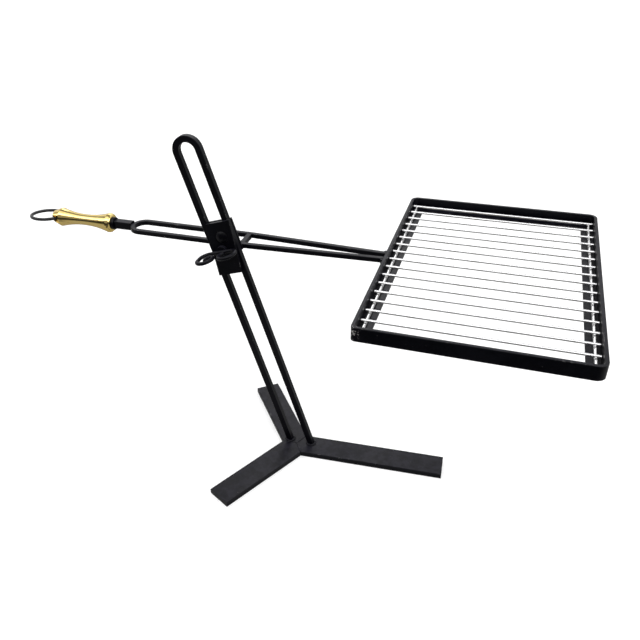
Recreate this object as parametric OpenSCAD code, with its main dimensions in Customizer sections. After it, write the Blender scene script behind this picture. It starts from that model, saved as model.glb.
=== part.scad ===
// Grill grate on a leaning post with a three-armed foot and a lift-out wire grid.
// Millimetres. X runs along the arm towards the grill, Y runs away from the clamp screw, Z is up.
// The origin is on the ground, midway between the two feet of the post.
// A carriage slides on the post and is held by the clamp screw. The arm tilts on the
// carriage's rivet and slides lengthwise in a keeper.

/* [Foot] */
// Width of the flat foot bars
foot_w = 35; // [28:0.5:50]
// Thickness of the flat foot bars
foot_t = 8; // [5:0.5:12]
// Reach of the right foot bar from the hub
reach_right = 207; // [150:1:300]
// Reach of the left foot bar from the hub
reach_left = 144.5; // [110:0.5:220]
// Reach of the back foot bar from the hub
reach_back = 141.5; // [110:0.5:220]
// Direction of the right foot bar in degrees
turn_right = 4; // [0:1:10]
// Direction of the back foot bar in degrees
turn_back = 128; // [120:1:135]
// Direction of the left foot bar in degrees
turn_left = 242; // [235:1:248]
// Eased edge of the flat bars
foot_edge = 0.6; // [0.3:0.1:1.2]

/* [Post] */
// Side of the square bar of the post
post_b = 8; // [6:0.5:10]
// Distance between the two legs, centre to centre
post_pitch = 30; // [26:0.5:40]
// Lean of the post in degrees
post_lean = 17; // [8:0.5:22]
// Length of the straight legs
post_rise = 441; // [420:1:560]
// Eased edge of the square bars
bar_edge = 0.5; // [0.2:0.1:0.9]

/* [Carriage] */
// Place of the rivet along the post
carriage_at = 331; // [200:1:380]
// Width of the front plate
plate_w = 33; // [28:0.5:40]
// Height of the front plate
plate_h = 70; // [60:1:90]
// Thickness of the front plate
plate_t = 4; // [3:0.5:6]
// How far the front plate's top is skewed to the right of its foot
plate_skew = 8.8; // [0:0.2:12]
// Sideways offset of the front plate's middle
plate_off = 1.7; // [0:0.1:3]
// Length of the front plate below the rivet
plate_below = 50.2; // [42:0.2:54]
// Width of the back plate
back_w = 39; // [32:0.5:48]
// Height of the back plate
back_h = 43; // [40:1:60]
// Thickness of the back plate
back_t = 3; // [2:0.5:5]
// Length of the back plate below the rivet
back_below = 25; // [24:0.5:32]
// Clearance between the carriage and the post
slide_gap = 0.2; // [0.1:0.05:0.3]
// Sideways offset of the rivet
rivet_off = 5; // [4:0.1:5.5]
// Diameter of the rivet's shank
rivet_d = 9; // [6:0.5:10]
// Diameter of the rivet's head
rivet_head = 15.5; // [13:0.5:17]
// Height of the rivet's domed heads
rivet_dome = 3; // [2:0.2:3.2]
// Clearance of the rivet and the screw in their holes
pin_gap = 0.05; // [0.02:0.01:0.1]

/* [Clamp] */
// Distance of the screw below the rivet
screw_drop = 17; // [16:0.5:19]
// Diameter of the clamp screw
screw_d = 8; // [6:0.5:9]
// Height of the clamp nut along the post
nut_h = 16; // [13:0.5:18]
// Thickness of the clamp nut
nut_t = 7; // [5:0.2:8]
// Diameter of the screw's collar
collar_d = 14; // [12:0.5:16]
// Diameter of the bent handle's rod
grip_d = 4.8; // [4:0.2:5.4]
// Length of the collar in front of the plate, to the rod's near side
grip_off = 3.4; // [3.3:0.1:5]
// Distance from the screw to the middle of the left curl
grip_left = 15.8; // [14.4:0.2:18]
// Distance from the screw to the middle of the right curl
grip_right = 12.6; // [12:0.2:16]
// Radius of the curls
grip_r = 10.8; // [10:0.2:11.4]
// Straight side of the left curl
side_left = 5; // [1:0.5:9]
// Straight side of the right curl
side_right = 0.5; // [0.5:0.5:8]
// Radius of the scroll that each curl ends in
scroll_r = 5.4; // [4.4:0.1:5.6]
// Sweep of the left scroll, in degrees
scroll_left = 220; // [40:5:225]
// Sweep of the right scroll, in degrees
scroll_right = 90; // [40:5:100]
// Turn of the handle below the level, in degrees
grip_turn = 17; // [0:1:40]

/* [Arm] */
// Side of the square bar of the arm
arm_b = 6; // [5:0.5:8]
// Distance between the arm's bars, centre to centre
arm_pitch = 30; // [26:0.5:36]
// Distance between the arm's bars at the grill
arm_close = 13.5; // [11:0.5:20]
// Height of the rivet above the arm's middle
arm_drop = 18.5; // [17:0.5:24]
// Length from the rivet to the middle of the closed end
arm_back = 131.5; // [90:0.5:170]
// Length from the rivet to the grill
arm_front = 196; // [150:1:260]
// Distance from the rivet to the spacer
spacer_at = 13; // [10:0.5:20]
// Length of the spacer
spacer_l = 6; // [4:0.5:14]
// Thickness of the swivel plate
swivel_t = 2.8; // [2:0.2:4]
// Radius of the swivel plate's eye
swivel_r = 9; // [8:0.2:11]
// Length of the keeper along the arm
keeper_l = 20; // [14:1:28]
// Distance from the rivet to the middle of the keeper
keeper_at = 14; // [12:0.5:16]
// Wall of the keeper
keeper_t = 2.4; // [1.6:0.2:3]
// Clearance of the arm in the keeper
keeper_gap = 0.3; // [0.2:0.05:0.5]

/* [Handle] */
// Length of the square shank
shank_l = 25.5; // [15:0.5:50]
// Side of the square shank
shank_b = 10.5; // [8:0.5:12]
// Diameter of the shank's round tang
tang_d = 8; // [6:0.5:9]
// Diameter of the ferrule
ferrule_d = 17; // [15:0.5:18]
// Length of the ferrule
ferrule_l = 4; // [3:0.5:8]
// Radius of the handle's rim
rim_r = 13.1; // [12.8:0.1:15]
// Length of the rim
rim_l = 6; // [5:0.5:9]
// Rounding of the rim towards the ferrule
rim_round = 4.5; // [2:0.5:4.8]
// Radius of the handle's waist
waist_r = 7.6; // [7:0.1:9]
// Radius of the long hollow curve of the handle
hollow_r = 130; // [110:1:160]
// Radius of the handle at the ridge of its belly
belly_r = 12.7; // [11:0.1:13]
// Rounding of the ridge
ridge_r = 3; // [2:0.1:4]
// Length of the cone from the ridge to the end
nose_l = 13; // [11:0.5:18]
// Radius of the end
end_r = 8.8; // [8:0.1:10]
// Rounding of the end
end_round = 2.5; // [1.5:0.1:4]
// Radius of the ring's hole
eye_r = 3.9; // [3.7:0.1:4.3]
// Distance from the handle's end to the ring's hole
eye_in = 6.7; // [6:0.1:9]
// Wire diameter of the hanging ring
ring_wire = 4.2; // [3:0.1:4.6]
// Radius of the ring to the middle of its wire
ring_r = 21.5; // [18:0.5:28]
// Lean of the ring in its hole, in degrees
ring_rock = 7; // [0:1:10]

/* [Grill frame] */
// Length of the frame along the arm
frame_l = 244.5; // [180:0.5:320]
// Depth of the frame across the arm
frame_d = 351; // [250:1:450]
// Height of the frame's band
frame_h = 17; // [14:0.5:25]
// Thickness of the frame's band
frame_t = 4; // [3:0.5:6]
// How far the frame's middle lies behind the arm's middle
frame_off = 11.1; // [-20:0.1:20]
// Outer radius of the bent corners
corner_r = 10; // [7:0.5:14]
// Outer radius of the butted corner, welded and dressed round
butt_r = 5; // [3.5:0.5:7]
// Width of the side ledges
ledge_side = 14; // [10:0.5:20]
// Width of the back and front ledges
ledge_end = 11; // [8:0.5:16]
// Thickness of the ledges
ledge_t = 3; // [2:0.5:4]

/* [Wire grid] */
// Diameter of the long rods
rod_d = 3; // [2:0.1:4]
// Diameter of the two cross rods
cross_d = 4; // [3:0.1:5]
// Distance from one long rod to the next
rod_pitch = 20.5; // [14:0.1:26]
// Clearance between the rods' ends and the frame
rod_end = 0.95; // [0.6:0.05:2]
// Distance of the cross rods from the frame
cross_in = 5.3; // [4:0.1:8]
// Distance from the frame's back wall to the first rod
grid_back = 10.4; // [6:0.1:14]
// Least distance from the frame's front wall to the last rod
grid_front = 4; // [3.5:0.1:8]
// Clearance between the grid and its ledges
rest_gap = 0.3; // [0.2:0.05:0.5]

/* [Hidden] */
// Smoothness of round shapes
$fn = 48;
// Middle of the foot's hub
hub_x = -3.8;
hub_y = -5.6;
// Mitre lines of the foot, halfway between neighbouring bars
mitre_rb = (turn_right + turn_back) / 2;
mitre_bl = (turn_back + turn_left) / 2;
mitre_lr = (turn_left + turn_right + 360) / 2;
// Half the distance between the feet, measured on the foot bars
foot_half = post_pitch / 2 / cos(post_lean);
// Faces of the carriage, counted along Y
plate_back = -post_b / 2 - slide_gap;
plate_face = plate_back - plate_t;
back_face = post_b / 2 + slide_gap;
back_rear = back_face + back_t;
swivel_face = back_rear + slide_gap;
swivel_rear = swivel_face + swivel_t;
// Axis of the rivet
rivet_x = rivet_off * cos(post_lean) - carriage_at * sin(post_lean);
rivet_z = foot_t + rivet_off * sin(post_lean) + carriage_at * cos(post_lean);
// Place of the screw along the post, and its end behind
screw_at = carriage_at - screw_drop;
screw_end = back_rear - slide_gap;
// Width of the clamp nut, which runs between the legs
nut_w = post_pitch - post_b - 2 * slide_gap - 0.2;
// Middle of the arm
arm_z = rivet_z - arm_drop;
arm_y = swivel_rear + keeper_gap + arm_b / 2 + arm_pitch / 2;
near_y = arm_y - arm_pitch / 2;
close_x = rivet_x - arm_back;
grill_x = rivet_x + arm_front;
taper_x = rivet_x + spacer_at + spacer_l;
taper_run = grill_x - taper_x;
taper_turn = atan((arm_pitch - arm_close) / 2 / taper_run);
// Handle, counted from its rim
shank_x = close_x - arm_pitch / 2 - arm_b / 2;
ferrule_x = shank_x - shank_l;
handle_x = ferrule_x - ferrule_l;
hollow_s = rim_l + sqrt(pow(hollow_r, 2) - pow(hollow_r + waist_r - rim_r, 2));
belly_s = hollow_s + sqrt(pow(hollow_r + ridge_r, 2) - pow(hollow_r + waist_r - belly_r + ridge_r, 2));
meet_s = belly_s - ridge_r * (belly_s - hollow_s) / (hollow_r + ridge_r);
handle_l = belly_s + nose_l;
// Cone of the nose, which touches the rounding of the ridge and that of the end
ridge_x = belly_r - ridge_r;
nose_x = end_r - end_round;
nose_s = handle_l - end_round;
nose_way = [nose_x - ridge_x, nose_s - belly_s];
nose_turn = atan2(nose_way[1], nose_way[0]) - acos((ridge_r - end_round) / norm(nose_way));
cone_from = belly_s + ridge_r * sin(nose_turn);
cone_to = nose_s + end_round * sin(nose_turn);
eye_x = handle_x - handle_l + eye_in;
tang_l = ferrule_l + handle_l - eye_in - eye_r - 4;
ring_shift = eye_r - ring_wire / 2 - 0.3;
// Frame of the grill
frame_top = arm_z + arm_b / 2;
frame_low = frame_top - frame_h;
frame_back = arm_y + frame_off + frame_d / 2;
frame_front = frame_back - frame_d;
frame_right = grill_x + frame_l;
inner_l = frame_l - 2 * frame_t;
inner_d = frame_d - 2 * frame_t;
inner_x = grill_x + frame_t;
inner_y = frame_front + frame_t;
ledge_top = frame_low + ledge_t;
// Wire grid
rod_count = floor((inner_d - grid_back - grid_front) / rod_pitch) + 1;
cross_z = ledge_top + rest_gap + cross_d / 2;
rod_z = cross_z + cross_d / 2 + rod_d / 2 + pin_gap;
rod_first = inner_y + inner_d - grid_back;
rod_last = rod_first - (rod_count - 1) * rod_pitch;
rod_l = inner_l - 2 * rod_end;
// Colours
black = [0.07, 0.07, 0.075];
chrome = [0.86, 0.87, 0.88];
gold = [0.80, 0.62, 0.28];
// Height of the weld beads
bead = 1.4;

// Section of a bar, w by h, with eased edges
module section(w, h, edge) {
    x = w / 2;
    y = h / 2;
    polygon([
        [-x + edge, -y], [x - edge, -y], [x, -y + edge], [x, y - edge],
        [x - edge, y], [-x + edge, y], [-x, y - edge], [-x, -y + edge]
    ]);
}

// Straight bar that runs up from the origin
module bar(len, w, h, edge) {
    linear_extrude(len) section(w, h, edge);
}

// Straight bar that runs along X, h high and w deep
module bar_x(len, w, h, edge) {
    rotate([0, 90, 0]) bar(len, h, w, edge);
}

// Bar bent round the Z axis
module bend(r, turn, w, h, edge) {
    rotate_extrude(angle = turn) translate([r, 0]) section(w, h, edge);
}

// Wire bent round the Z axis
module wire_bend(r, turn, d) {
    rotate_extrude(angle = turn) translate([r, 0]) circle(d = d);
}

// Round dome that stands on the ground plane
module dome(d, h) {
    r = (pow(d / 2, 2) + pow(h, 2)) / (2 * h);
    intersection() {
        translate([0, 0, h - r]) sphere(r);
        cylinder(d = d, h = h);
    }
}

// Places its children in the post's own frame: X across the legs, Z along them
module on_post() {
    translate([0, 0, foot_t]) rotate([0, -post_lean, 0]) children();
}

// Slice between two mitre lines that start at the hub
module mitre_slice(from_turn, to_turn) {
    far = 4 * max(reach_right, reach_left, reach_back);
    translate([0, 0, -1]) linear_extrude(foot_t + 2) polygon([
        [0, 0],
        [far * cos(from_turn), far * sin(from_turn)],
        [far * cos(to_turn), far * sin(to_turn)]
    ]);
}

// One flat bar of the foot, mitred at the hub
module foot_bar(reach, turn, from_turn, to_turn) {
    color(black) translate([hub_x, hub_y, 0]) intersection() {
        rotate([0, 0, turn]) translate([-foot_w, 0, foot_t / 2])
            bar_x(reach + foot_w, foot_w, foot_t, foot_edge);
        mitre_slice(from_turn, to_turn);
    }
}

// Length of a mitre from the hub to the corner between two bars
function mitre_len(a, b) = foot_w / 2 / sin(abs(b - a) / 2);

// Low round bead along one mitre
module mitre_bead(turn, len) {
    r = 3;
    rotate([0, 0, turn]) translate([0, 0, foot_t + 0.9 - r]) rotate([0, 90, 0]) cylinder(r = r, h = len);
}

// Weld bead along the three mitres
module hub_weld() {
    color(black) difference() {
        translate([hub_x, hub_y, 0]) {
            mitre_bead(mitre_rb, mitre_len(turn_right, turn_back) - 1);
            mitre_bead(mitre_bl, mitre_len(turn_back, turn_left) - 1);
            mitre_bead(mitre_lr, mitre_len(turn_left, turn_right + 360) - 1);
        }
        translate([hub_x - 60, hub_y - 60, foot_t - 10]) cube([120, 120, 10]);
        for (s = [-1, 1]) leg_weld_body(s, 0.1);
    }
}

// Both legs and the rounded top of the post, before it is cut at the foot
module post_blank() {
    on_post() {
        for (s = [-1, 1]) translate([s * post_pitch / 2, 0, -post_b]) bar(post_rise + post_b, post_b, post_b, bar_edge);
        translate([0, 0, post_rise]) rotate([90, 0, 0]) bend(post_pitch / 2, 180, post_b, post_b, bar_edge);
    }
}

module post_loop() {
    color(black) difference() {
        post_blank();
        translate([-100, -50, foot_t - 50]) cube([200, 100, 50]);
    }
}

// Conical weld round one leg
module leg_weld_body(side, grow) {
    translate([side * foot_half, 0, foot_t])
        cylinder(r1 = post_b * 0.95 + grow, r2 = post_b * 0.72 + grow, h = bead + 0.8 + grow);
}

module leg_weld(side) {
    color(black) difference() {
        leg_weld_body(side, 0);
        post_blank();
    }
}

// Front plate of the carriage, leaning against the two legs
module front_plate() {
    x = plate_w / 2;
    lean = plate_skew / 2;
    low = carriage_at - plate_below;
    color(black) on_post() translate([0, plate_back, 0]) rotate([90, 0, 0]) linear_extrude(plate_t) difference() {
        polygon([
            [plate_off - x - lean, low],
            [plate_off + x - lean, low],
            [plate_off + x + lean, low + plate_h],
            [plate_off - x + lean, low + plate_h]
        ]);
        translate([rivet_off, carriage_at]) circle(d = rivet_d + 2 * pin_gap);
        translate([0, screw_at]) circle(d = screw_d + 2 * pin_gap);
    }
}

// Back plate of the carriage
module back_plate() {
    color(black) on_post() translate([0, back_rear, 0]) rotate([90, 0, 0]) linear_extrude(back_t) difference() {
        translate([-back_w / 2, carriage_at - back_below]) square([back_w, back_h]);
        translate([rivet_off, carriage_at]) circle(d = rivet_d + 2 * pin_gap);
        translate([0, screw_at]) circle(d = screw_d + 2 * pin_gap);
    }
}

// Rivet that holds the carriage together and carries the arm
module pivot_rivet() {
    tail_y = swivel_rear + slide_gap + 1.5;
    color(black) on_post() translate([rivet_off, 0, carriage_at]) {
        translate([0, plate_face, 0]) rotate([90, 0, 0]) difference() {
            dome(rivet_head, rivet_dome);
            translate([0, 0, rivet_dome - 0.9]) cylinder(r = 2.6, h = 2);
        }
        translate([0, plate_face, 0]) rotate([-90, 0, 0]) cylinder(d = rivet_d, h = tail_y - plate_face);
        translate([0, tail_y, 0]) rotate([-90, 0, 0]) dome(rivet_head - 1.5, rivet_dome - 0.4);
    }
}

// Washer between the swivel plate and the rivet's tail
module rivet_washer() {
    color(black) on_post() translate([rivet_off, swivel_rear + slide_gap, carriage_at]) rotate([-90, 0, 0]) difference() {
        cylinder(d = rivet_head + 0.5, h = 1.5);
        translate([0, 0, -1]) cylinder(d = rivet_d + 2 * pin_gap, h = 4);
    }
}

// Nut of the clamp screw, which runs between the legs
module clamp_nut() {
    color(black) on_post() translate([0, back_face - nut_t, screw_at]) difference() {
        translate([-nut_w / 2, 0, -nut_h / 2]) cube([nut_w, nut_t, nut_h]);
        translate([rivet_off, nut_t / 2, screw_drop]) rotate([90, 0, 0])
            cylinder(d = rivet_d + 2, h = nut_t + 2, center = true);
        rotate([-90, 0, 0]) translate([0, 0, -1]) cylinder(d = screw_d + 2 * pin_gap, h = nut_t + 2);
    }
}

// Places its children at the screw, with the handle's turn
module at_screw() {
    on_post() translate([0, plate_face, screw_at]) rotate([0, post_lean - grip_turn, 0]) children();
}

// Clamp screw with its collar, grooved for the handle's rod
module clamp_screw() {
    rod_y = -grip_off - grip_d / 2;
    color(black) at_screw() difference() {
        union() {
            translate([0, -grip_off - grip_d * 0.4, 0]) rotate([-90, 0, 0])
                cylinder(d = collar_d, h = grip_off + grip_d * 0.4 - slide_gap / 2);
            translate([0, -grip_off, 0]) rotate([-90, 0, 0])
                cylinder(d = screw_d, h = grip_off + screw_end - plate_face);
        }
        translate([0, rod_y, 0]) rotate([0, 90, 0])
            cylinder(d = grip_d + 2 * pin_gap, h = 2 * collar_d, center = true);
    }
}

// One curl of the handle, on the side that X points to: a hook with a straight side, then a small scroll
module grip_curl(reach, side, sweep) {
    near = -grip_off - grip_d / 2 - grip_r;
    far = near - side;
    translate([reach, near, 0]) wire_bend(grip_r, 90, grip_d);
    translate([reach + grip_r, near, 0]) rotate([90, 0, 0]) cylinder(d = grip_d, h = side);
    translate([reach, far, 0]) mirror([0, 1, 0]) wire_bend(grip_r, 180, grip_d);
    translate([reach - grip_r + scroll_r, far, 0]) mirror([1, 0, 0]) wire_bend(scroll_r, sweep, grip_d);
}

// Handle of the screw, one rod bent into two curls
module clamp_handle() {
    color(black) at_screw() {
        translate([-grip_left, -grip_off - grip_d / 2, 0]) rotate([0, 90, 0])
            cylinder(d = grip_d, h = grip_left + grip_right);
        grip_curl(grip_right, side_right, scroll_right);
        mirror([1, 0, 0]) grip_curl(grip_left, side_left, scroll_left);
    }
}

// Swivel plate: an eye round the rivet, widened to the left and down to carry the keeper
module swivel_plate() {
    half = keeper_l / 2;
    drop = arm_drop + arm_b / 2 + keeper_gap + keeper_t;
    inset = swivel_r * 0.93;
    color(black) translate([rivet_x, swivel_rear, rivet_z]) rotate([90, 0, 0]) linear_extrude(swivel_t) difference() {
        union() {
            circle(swivel_r);
            polygon([
                [-keeper_at - half, -drop],
                [-keeper_at + half, -drop],
                [inset * cos(-35), inset * sin(-35)],
                [inset * cos(140), inset * sin(140)],
                [-keeper_at - half, -drop + arm_b + 2 * keeper_gap + 2 * keeper_t]
            ]);
        }
        circle(d = rivet_d + 2 * pin_gap);
    }
}

// Keeper: a bent strap that holds the arm's near bar against the swivel plate
module arm_keeper() {
    clear = arm_b / 2 + keeper_gap;
    wall = clear + keeper_t;
    depth = arm_b + 2 * keeper_gap;
    color(black) translate([rivet_x - keeper_at - keeper_l / 2, swivel_rear, arm_z])
        rotate([90, 0, 90]) linear_extrude(keeper_l) difference() {
            translate([0, -wall]) square([depth + keeper_t, 2 * wall]);
            translate([-1, -clear]) square([depth + 1, 2 * clear]);
        }
}

// Bar of the arm from the taper to the grill, before it is cut at the grill
module taper_bar(side) {
    translate([taper_x, arm_y + side * arm_pitch / 2, arm_z]) rotate([0, 0, -side * taper_turn])
        bar_x(taper_run + 10, arm_b, arm_b, bar_edge);
}

// Arm: one square bar bent back on itself, its two ends drawn together at the grill
module arm_loop() {
    straight = taper_x - close_x;
    color(black) difference() {
        union() {
            translate([close_x, arm_y, arm_z]) rotate([0, 0, 90]) bend(arm_pitch / 2, 180, arm_b, arm_b, bar_edge);
            for (s = [-1, 1]) {
                translate([close_x, arm_y + s * arm_pitch / 2, arm_z]) bar_x(straight + 0.07, arm_b, arm_b, bar_edge);
                taper_bar(s);
            }
        }
        translate([grill_x, arm_y - 50, arm_z - 20]) cube([40, 100, 40]);
    }
}

// Block welded between the arm's bars
module arm_spacer() {
    gap = arm_pitch - arm_b;
    color(black) translate([rivet_x + spacer_at, arm_y - gap / 2, arm_z - arm_b / 2]) cube([spacer_l, gap, arm_b]);
}

// Square shank with a round tang for the handle
module arm_shank() {
    fit = arm_pitch / 2 + arm_b / 2 + pin_gap;
    color(black) difference() {
        union() {
            translate([ferrule_x, arm_y, arm_z]) bar_x(shank_l + 4, shank_b, shank_b, bar_edge);
            translate([ferrule_x - tang_l, arm_y, arm_z]) rotate([0, 90, 0]) cylinder(d = tang_d, h = tang_l + 1);
        }
        translate([close_x, arm_y, arm_z - shank_b]) cylinder(r = fit, h = 2 * shank_b, $fn = 96);
    }
}

// Ferrule between the shank and the handle
module ferrule() {
    r = ferrule_d / 2;
    color(black) translate([ferrule_x, arm_y, arm_z]) rotate([0, -90, 0]) rotate_extrude() difference() {
        square([r, ferrule_l]);
        square([tang_d / 2 + pin_gap, ferrule_l]);
        translate([r - 1, 0]) difference() {
            translate([0, -1]) square([2, 2]);
            translate([0, 1]) circle(1);
        }
    }
}

// Stretch of the handle's outline, from one length to the next, rounded by a circle
module round_stretch(x, s, r, from, to) {
    intersection() {
        translate([0, from]) square([x + r + 1, to - from]);
        union() {
            translate([x, s]) circle(r);
            translate([0, from]) square([x, to - from]);
        }
    }
}

// Outline of the handle: radius along X, length from the ferrule along Y
module handle_outline() {
    difference() {
        union() {
            square([rim_r, meet_s]);
            round_stretch(ridge_x, belly_s, ridge_r, meet_s, cone_from);
            polygon([
                [0, cone_from],
                [ridge_x + ridge_r * cos(nose_turn), cone_from],
                [nose_x + end_round * cos(nose_turn), cone_to],
                [0, cone_to]
            ]);
            round_stretch(nose_x, nose_s, end_round, cone_to, handle_l);
        }
        translate([waist_r + hollow_r, hollow_s]) circle(hollow_r, $fn = 360);
        translate([rim_r - rim_round, 0]) difference() {
            translate([0, -1]) square([rim_round + 1, rim_round + 1]);
            translate([0, rim_round]) circle(rim_round);
        }
    }
}

module brass_handle() {
    color(gold) difference() {
        translate([handle_x, arm_y, arm_z]) rotate([0, -90, 0]) rotate_extrude($fn = 64) handle_outline();
        translate([ferrule_x - tang_l - 0.5, arm_y, arm_z]) rotate([0, 90, 0])
            cylinder(d = tang_d + 2 * pin_gap, h = tang_l + 5);
        translate([eye_x, arm_y, arm_z]) rotate([90, 0, 0]) cylinder(r = eye_r, h = 40, center = true);
        for (s = [-1, 1]) translate([eye_x, arm_y + s * 8.5, arm_z]) rotate([-90 * s, 0, 0])
            cylinder(r1 = eye_r, r2 = eye_r + 3, h = 4);
    }
}

// Wire ring that hangs in the handle's hole
module hanging_ring() {
    color(black) translate([eye_x, arm_y, arm_z]) rotate([-ring_rock, 0, 0]) translate([ring_shift - ring_r, 0, 0])
        rotate_extrude($fn = 64) translate([ring_r, 0]) circle(d = ring_wire, $fn = 24);
}

// Band of the grill: a flat bar on edge, bent at three corners and welded at the fourth
module frame_band() {
    mid_z = frame_low + frame_h / 2;
    r = corner_r - frame_t / 2;
    small = max(butt_r, frame_t + 0.5);
    color(black) {
        translate([grill_x + small, frame_front + frame_t / 2, mid_z])
            bar_x(frame_l - corner_r - small, frame_t, frame_h, bar_edge);
        translate([grill_x + corner_r, frame_back - frame_t / 2, mid_z])
            bar_x(frame_l - 2 * corner_r, frame_t, frame_h, bar_edge);
        translate([frame_right - frame_t / 2, frame_front + corner_r, mid_z]) rotate([-90, 0, 0])
            bar(frame_d - 2 * corner_r, frame_t, frame_h, bar_edge);
        translate([grill_x + frame_t / 2, frame_front + small, mid_z]) rotate([-90, 0, 0])
            bar(frame_d - corner_r - small, frame_t, frame_h, bar_edge);
        translate([grill_x + small, frame_front + small, mid_z]) rotate([0, 0, 180])
            bend(small - frame_t / 2, 90, frame_t, frame_h, bar_edge);
        translate([frame_right - corner_r, frame_front + corner_r, mid_z]) rotate([0, 0, -90])
            bend(r, 90, frame_t, frame_h, bar_edge);
        translate([frame_right - corner_r, frame_back - corner_r, mid_z]) bend(r, 90, frame_t, frame_h, bar_edge);
        translate([grill_x + corner_r, frame_back - corner_r, mid_z]) rotate([0, 0, 90])
            bend(r, 90, frame_t, frame_h, bar_edge);
    }
}

// Weld bead inside the butted corner, clear of the corner's own rounding
module corner_weld() {
    r = 2.5;
    clear = max(butt_r - frame_t, 0.5);
    color(black) translate([inner_x, inner_y, ledge_top]) difference() {
        intersection() {
            cylinder(r = r, h = frame_top - ledge_top - 1);
            cube([r, r, frame_h]);
        }
        rotate([0, 0, 45]) cube([clear * sqrt(2), clear * sqrt(2), 3 * frame_h], center = true);
    }
}

// Weld bead beside one of the arm's two ends, on the band
module arm_weld(side) {
    out = arm_close / 2 + arm_b / 2;
    big = 4 * arm_b;
    color(black) translate([grill_x, arm_y + side * out, arm_z - arm_b / 2]) intersection() {
        cylinder(r = arm_b / 2, h = arm_b - 0.4);
        translate([-big, 0, -1]) mirror([0, (1 - side) / 2, 0]) cube(big);
        translate([0, side * 0.02, 0]) rotate([0, 0, -side * taper_turn]) translate([-big, 0, -1])
            mirror([0, (1 - side) / 2, 0]) cube([2 * big, big, big]);
    }
}

// Space inside the band, rounded at the three bent corners
module inner_outline() {
    r = corner_r - frame_t + 0.1;
    difference() {
        translate([inner_x, inner_y]) square([inner_l, inner_d]);
        for (c = [[1, 0], [1, 1], [0, 1]]) {
            x = inner_x + c[0] * inner_l;
            y = inner_y + c[1] * inner_d;
            difference() {
                translate([x - r, y - r]) square(2 * r);
                translate([x + r * (1 - 2 * c[0]), y + r * (1 - 2 * c[1])]) circle(r);
                translate([x - c[0] * 3 * r - (1 - c[0]) * 3 * r + (1 - c[0]) * 4 * r, y - 3 * r]) square([2 * r, 6 * r]);
                translate([x - 3 * r, y - c[1] * 3 * r + (1 - c[1]) * r]) square([6 * r, 2 * r]);
            }
        }
    }
}

// One flat ledge strip inside the band
module ledge(x, y, l, d) {
    color(black) translate([0, 0, frame_low]) linear_extrude(ledge_t) intersection() {
        translate([x, y]) square([l, d]);
        inner_outline();
    }
}

// One cross rod under the long rods
module cross_rod(x) {
    color(chrome) translate([x, rod_last - rod_d / 2, cross_z]) rotate([-90, 0, 0])
        cylinder(d = cross_d, h = rod_first - rod_last + rod_d);
}

// One long rod of the grid
module grid_rod(i) {
    color(chrome) translate([inner_x + rod_end, rod_first - (i - 1) * rod_pitch, rod_z]) rotate([0, 90, 0])
        cylinder(d = rod_d, h = rod_l, $fn = 32);
}

foot_bar(reach_right, turn_right, mitre_lr - 360, mitre_rb);  // foot_right
foot_bar(reach_back, turn_back, mitre_rb, mitre_bl);  // foot_back
foot_bar(reach_left, turn_left, mitre_bl, mitre_lr);  // foot_left
hub_weld();
post_loop();
leg_weld(1);  // leg_weld_right
leg_weld(-1);  // leg_weld_left
front_plate();
back_plate();
pivot_rivet();
rivet_washer();
clamp_nut();
clamp_screw();
clamp_handle();
swivel_plate();
arm_keeper();
arm_loop();
arm_spacer();
arm_shank();
ferrule();
brass_handle();
hanging_ring();
frame_band();
corner_weld();
arm_weld(1);  // arm_weld_far
arm_weld(-1);  // arm_weld_near
ledge(inner_x, inner_y, ledge_side, inner_d);  // ledge_left
ledge(inner_x + inner_l - ledge_side, inner_y, ledge_side, inner_d);  // ledge_right
ledge(inner_x + ledge_side, inner_y + inner_d - ledge_end, inner_l - 2 * ledge_side, ledge_end);  // ledge_back
ledge(inner_x + ledge_side, inner_y, inner_l - 2 * ledge_side, ledge_end);  // ledge_front
cross_rod(inner_x + cross_in);  // cross_rod_left
cross_rod(inner_x + inner_l - cross_in);  // cross_rod_right
for (i = [1:rod_count])
    grid_rod(i);
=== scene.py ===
import math

import bpy
from bpy.props import FloatProperty, FloatVectorProperty, IntProperty, PointerProperty
from bpy.types import Operator, Panel, PropertyGroup
from mathutils import Matrix, Vector


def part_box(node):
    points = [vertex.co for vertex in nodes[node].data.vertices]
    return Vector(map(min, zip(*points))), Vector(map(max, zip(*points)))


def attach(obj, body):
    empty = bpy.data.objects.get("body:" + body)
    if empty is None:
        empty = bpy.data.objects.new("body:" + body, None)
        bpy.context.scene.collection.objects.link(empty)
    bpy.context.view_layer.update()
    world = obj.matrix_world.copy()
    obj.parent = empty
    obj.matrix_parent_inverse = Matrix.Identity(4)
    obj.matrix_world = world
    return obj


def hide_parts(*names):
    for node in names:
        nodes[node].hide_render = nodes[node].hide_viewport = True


bl_info = {
    "name": "Grill grate stand",
    "version": (1, 0, 0),
    "blender": (4, 5, 0),
    "location": "3D View > Sidebar > Grill grate",
    "description": "Finishes the black iron grill stand with its brass handle and wire grid",
    "category": "Object",
}

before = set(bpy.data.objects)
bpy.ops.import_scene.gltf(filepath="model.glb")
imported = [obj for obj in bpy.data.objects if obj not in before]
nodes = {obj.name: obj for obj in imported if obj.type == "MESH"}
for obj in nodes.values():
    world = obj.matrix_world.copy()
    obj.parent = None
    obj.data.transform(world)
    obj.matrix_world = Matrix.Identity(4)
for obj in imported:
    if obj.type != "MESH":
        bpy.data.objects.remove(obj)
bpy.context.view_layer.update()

GRID_NODES = sorted(n for n in nodes if n.startswith(("grid_rod_", "cross_rod_")))
LONG_RODS = sorted((n for n in nodes if n.startswith("grid_rod_")),
                   key=lambda n: int(n.split("_")[-1]))
OTHER_NODES = set(GRID_NODES) | {"brass_handle", "hanging_ring"}
IRON_NODES = sorted(set(nodes) - OTHER_NODES)

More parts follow.
